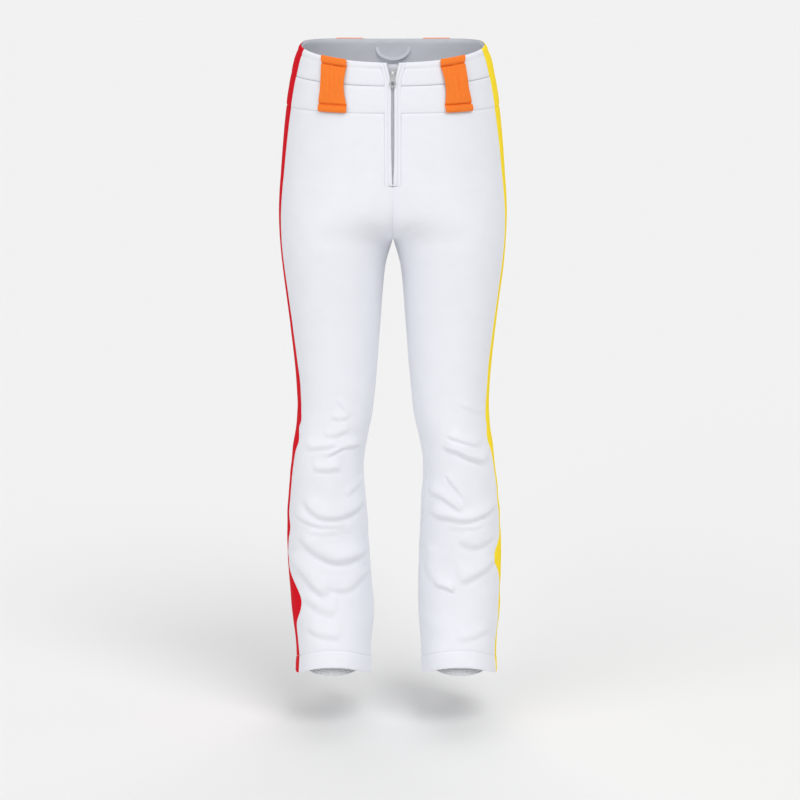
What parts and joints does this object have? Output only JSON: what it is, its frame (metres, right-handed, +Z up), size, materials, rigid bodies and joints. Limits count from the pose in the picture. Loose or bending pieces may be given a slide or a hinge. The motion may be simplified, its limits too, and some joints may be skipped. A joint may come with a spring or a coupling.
{
  "type": "ski pants",
  "caption": "Flared softshell ski pants with a two-tier waistband, wide belt loops, a front zip fly and a contrasting stripe down each side.",
  "frame": {"origin": "middle of the waist opening, level with the top of the fly", "axes": "+Z up, -Y to the front, +X to the wearer's left"},
  "size_m": [0.3722, 0.2407, 1.0625],
  "materials": {
    "shell_white": "smooth bonded softshell with a fine matt face",
    "stripe_red": "smooth matt softshell",
    "stripe_yellow": "smooth matt softshell",
    "loop_orange": "ribbed elastic webbing",
    "facing_white": "brushed knit facing",
    "tape_white": "woven tape",
    "gaiter_cloth": "light stretch nylon",
    "elastic_white": "ribbed elastic",
    "zip_chain": "moulded coil, satin",
    "zip_metal": "polished nickel plate"
  },
  "bodies": {
    "waist": {"waistband_front_right": "shell_white", "waistband_front_left": "shell_white", "yoke_front_right": "shell_white", "yoke_front_left": "shell_white", "waistband_back": "shell_white", "yoke_back": "shell_white", "waistband_facing": "facing_white", "belt_loop_front_right": "loop_orange", "belt_loop_front_left": "loop_orange", "belt_loop_back_right": "loop_orange", "belt_loop_back_left": "loop_orange", "fly_welt_right": "shell_white", "fly_welt_left": "shell_white", "zip_tape_right": "tape_white", "zip_tape_left": "tape_white", "zip_teeth_right": "zip_chain", "zip_teeth_left": "zip_chain", "zip_top_stop_right": "zip_metal", "zip_top_stop_left": "zip_metal", "zip_bottom_stop": "zip_metal", "fly_guard": "facing_white", "waist_snap_stud": "zip_metal", "waist_snap_cap": "zip_metal", "hanger_loop": "tape_white", "stripe_red_waist": "stripe_red", "stripe_yellow_waist": "stripe_yellow", "hip_front_right": "shell_white", "hip_front_left": "shell_white", "seat_back_right": "shell_white", "seat_back_left": "shell_white", "stripe_red_hip": "stripe_red", "stripe_yellow_hip": "stripe_yellow"},
    "zip_slider": {"zip_slider": "zip_metal"},
    "pull_tab": {"zip_pull_tab": "zip_metal"},
    "upper_leg_right": {"hip_fold_right": "shell_white", "thigh_front_right": "shell_white", "thigh_back_right": "shell_white", "stripe_red_thigh": "stripe_red"},
    "lower_leg_right": {"knee_fold_right": "shell_white", "shin_front_right": "shell_white", "shin_back_right": "shell_white", "stripe_red_shin": "stripe_red", "hem_facing_right": "facing_white", "snow_gaiter_right": "gaiter_cloth", "gaiter_elastic_right": "elastic_white"},
    "upper_leg_left": {"hip_fold_left": "shell_white", "thigh_front_left": "shell_white", "thigh_back_left": "shell_white", "stripe_yellow_thigh": "stripe_yellow"},
    "lower_leg_left": {"knee_fold_left": "shell_white", "shin_front_left": "shell_white", "shin_back_left": "shell_white", "stripe_yellow_shin": "stripe_yellow", "hem_facing_left": "facing_white", "snow_gaiter_left": "gaiter_cloth", "gaiter_elastic_left": "elastic_white"}
  },
  "joints": [
    {"name": "zip_slide", "type": "slide", "parent": "waist", "child": "zip_slider", "axis": [0, -0.0599, -0.9982], "range_m": [0, 0.158], "deforming": ["zip_teeth_right", "zip_teeth_left"]},
    {"name": "pull_swing", "type": "hinge", "parent": "zip_slider", "child": "pull_tab", "pos_m": [0, -0.1037, -0.0167], "axis": [-1, 0, 0], "range_deg": [0, 150]},
    {"name": "hip_right", "type": "hinge", "parent": "waist", "child": "upper_leg_right", "pos_m": [0, 0.005, -0.205], "axis": [-1, 0, 0], "range_deg": [-15, 75], "deforming": ["hip_fold_right"]},
    {"name": "knee_right", "type": "hinge", "parent": "upper_leg_right", "child": "lower_leg_right", "pos_m": [0, 0, -0.65], "axis": [1, 0, 0], "range_deg": [0, 80], "deforming": ["knee_fold_right"]},
    {"name": "hip_left", "type": "hinge", "parent": "waist", "child": "upper_leg_left", "pos_m": [0, 0.005, -0.205], "axis": [-1, 0, 0], "range_deg": [-15, 75], "deforming": ["hip_fold_left"]},
    {"name": "knee_left", "type": "hinge", "parent": "upper_leg_left", "child": "lower_leg_left", "pos_m": [0, 0, -0.65], "axis": [1, 0, 0], "range_deg": [0, 80], "deforming": ["knee_fold_left"]}
  ]
}
